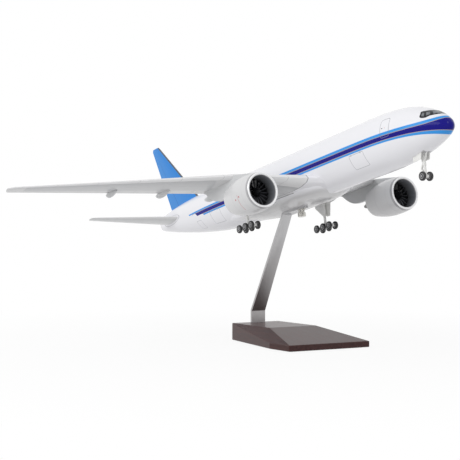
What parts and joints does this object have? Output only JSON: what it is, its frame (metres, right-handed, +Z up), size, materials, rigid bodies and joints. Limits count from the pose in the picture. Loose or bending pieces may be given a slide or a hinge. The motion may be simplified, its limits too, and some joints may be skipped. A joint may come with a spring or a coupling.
{
  "type": "model airliner",
  "caption": "Desk display model of a twin-engined airliner on a wooden stand with a bent metal arm; its fans and wheels turn and a thumb screw holds it.",
  "frame": {"origin": "on the ground plane, under the middle of the wooden base", "axes": "+X towards the nose, +Y to port, +Z up"},
  "size_m": [0.4, 0.3898, 0.1703],
  "materials": {
    "dark_wood": "gloss lacquer over dark red-brown wood",
    "mat_rubber": "matt",
    "arm_steel": "satin",
    "bright_screw": "bright nickel",
    "steel_screw": "plain",
    "insert_brass": "plain",
    "white_gloss": "gloss white lacquer",
    "pale_grey_gloss": "gloss pale grey lacquer",
    "blue_gloss": "gloss blue lacquer",
    "polished_lip": "polished",
    "black_fan": "satin black",
    "core_grey": "satin metallic grey",
    "shaft_steel": "plain",
    "gear_paint": "satin pale grey",
    "gear_door": "satin grey",
    "wheel_metal": "satin",
    "tyre_black": "satin black"
  },
  "bodies": {
    "model": {"base": "dark_wood", "base_mat": "mat_rubber", "stand_arm": "arm_steel", "foot_screws": "steel_screw", "locating_pin": "bright_screw", "belly_insert": "insert_brass", "fuselage": "white_gloss", "belly_fairing": "pale_grey_gloss", "fin": "blue_gloss", "nose_leg": "gear_paint", "nose_brace": "gear_paint", "nose_doors": "gear_door", "left_wing": "pale_grey_gloss", "left_flap_fairings": "pale_grey_gloss", "left_tailplane": "pale_grey_gloss", "left_pylon": "pale_grey_gloss", "left_nacelle": "pale_grey_gloss", "left_inlet_lip": "polished_lip", "left_engine_core": "core_grey", "left_exhaust_plug": "core_grey", "left_main_leg": "gear_paint", "left_main_brace": "gear_paint", "left_main_door": "gear_door", "left_bogie_beam": "gear_paint", "right_wing": "pale_grey_gloss", "right_flap_fairings": "pale_grey_gloss", "right_tailplane": "pale_grey_gloss", "right_pylon": "pale_grey_gloss", "right_nacelle": "pale_grey_gloss", "right_inlet_lip": "polished_lip", "right_engine_core": "core_grey", "right_exhaust_plug": "core_grey", "right_main_leg": "gear_paint", "right_main_brace": "gear_paint", "right_main_door": "gear_door", "right_bogie_beam": "gear_paint"},
    "left_fan": {"left_fan": "black_fan", "left_fan_shaft": "shaft_steel"},
    "right_fan": {"right_fan": "black_fan", "right_fan_shaft": "shaft_steel"},
    "nose_wheels": {"nose_axle": "wheel_metal", "nose_tyres": "tyre_black"},
    "left_front_wheels": {"left_front_axle": "wheel_metal", "left_front_tyres": "tyre_black"},
    "left_middle_wheels": {"left_middle_axle": "wheel_metal", "left_middle_tyres": "tyre_black"},
    "left_rear_wheels": {"left_rear_axle": "wheel_metal", "left_rear_tyres": "tyre_black"},
    "right_front_wheels": {"right_front_axle": "wheel_metal", "right_front_tyres": "tyre_black"},
    "right_middle_wheels": {"right_middle_axle": "wheel_metal", "right_middle_tyres": "tyre_black"},
    "right_rear_wheels": {"right_rear_axle": "wheel_metal", "right_rear_tyres": "tyre_black"},
    "thumb_washer": {"thumb_washer": "bright_screw"},
    "thumb_screw": {"thumb_screw": "bright_screw"}
  },
  "joints": [
    {"name": "left_fan_spin", "type": "hinge", "parent": "model", "child": "left_fan", "pos_m": [0.04657, 0.0642, 0.11342], "axis": [0.9792, 0, 0.2028], "continuous": true},
    {"name": "right_fan_spin", "type": "hinge", "parent": "model", "child": "right_fan", "pos_m": [0.04657, -0.0642, 0.11342], "axis": [0.9792, 0, 0.2028], "continuous": true},
    {"name": "nose_wheels_roll", "type": "hinge", "parent": "model", "child": "nose_wheels", "pos_m": [0.15403, 0, 0.12362], "axis": [0, 1, 0], "continuous": true},
    {"name": "left_front_wheels_roll", "type": "hinge", "parent": "model", "child": "left_front_wheels", "pos_m": [0.00308, 0.036, 0.09093], "axis": [0, 1, 0], "continuous": true},
    {"name": "left_middle_wheels_roll", "type": "hinge", "parent": "model", "child": "left_middle_wheels", "pos_m": [-0.00491, 0.036, 0.08928], "axis": [0, 1, 0], "continuous": true},
    {"name": "left_rear_wheels_roll", "type": "hinge", "parent": "model", "child": "left_rear_wheels", "pos_m": [-0.01289, 0.036, 0.08762], "axis": [0, 1, 0], "continuous": true},
    {"name": "right_front_wheels_roll", "type": "hinge", "parent": "model", "child": "right_front_wheels", "pos_m": [0.00308, -0.036, 0.09093], "axis": [0, 1, 0], "continuous": true},
    {"name": "right_middle_wheels_roll", "type": "hinge", "parent": "model", "child": "right_middle_wheels", "pos_m": [-0.00491, -0.036, 0.08928], "axis": [0, 1, 0], "continuous": true},
    {"name": "right_rear_wheels_roll", "type": "hinge", "parent": "model", "child": "right_rear_wheels", "pos_m": [-0.01289, -0.036, 0.08762], "axis": [0, 1, 0], "continuous": true},
    {"name": "thumb_screw_travel", "type": "slide", "parent": "model", "child": "thumb_washer", "axis": [0.2028, 0, -0.9792], "range_m": [0, 0.004]},
    {"name": "thumb_screw_turn", "type": "hinge", "parent": "thumb_washer", "child": "thumb_screw", "pos_m": [0.01197, 0, 0.10441], "axis": [0.2028, 0, -0.9792], "range_deg": [0, 2881]}
  ],
  "couplings": [
    {"joint": "thumb_screw_turn", "follows": "thumb_screw_travel", "rad_per_m": 12566}
  ]
}
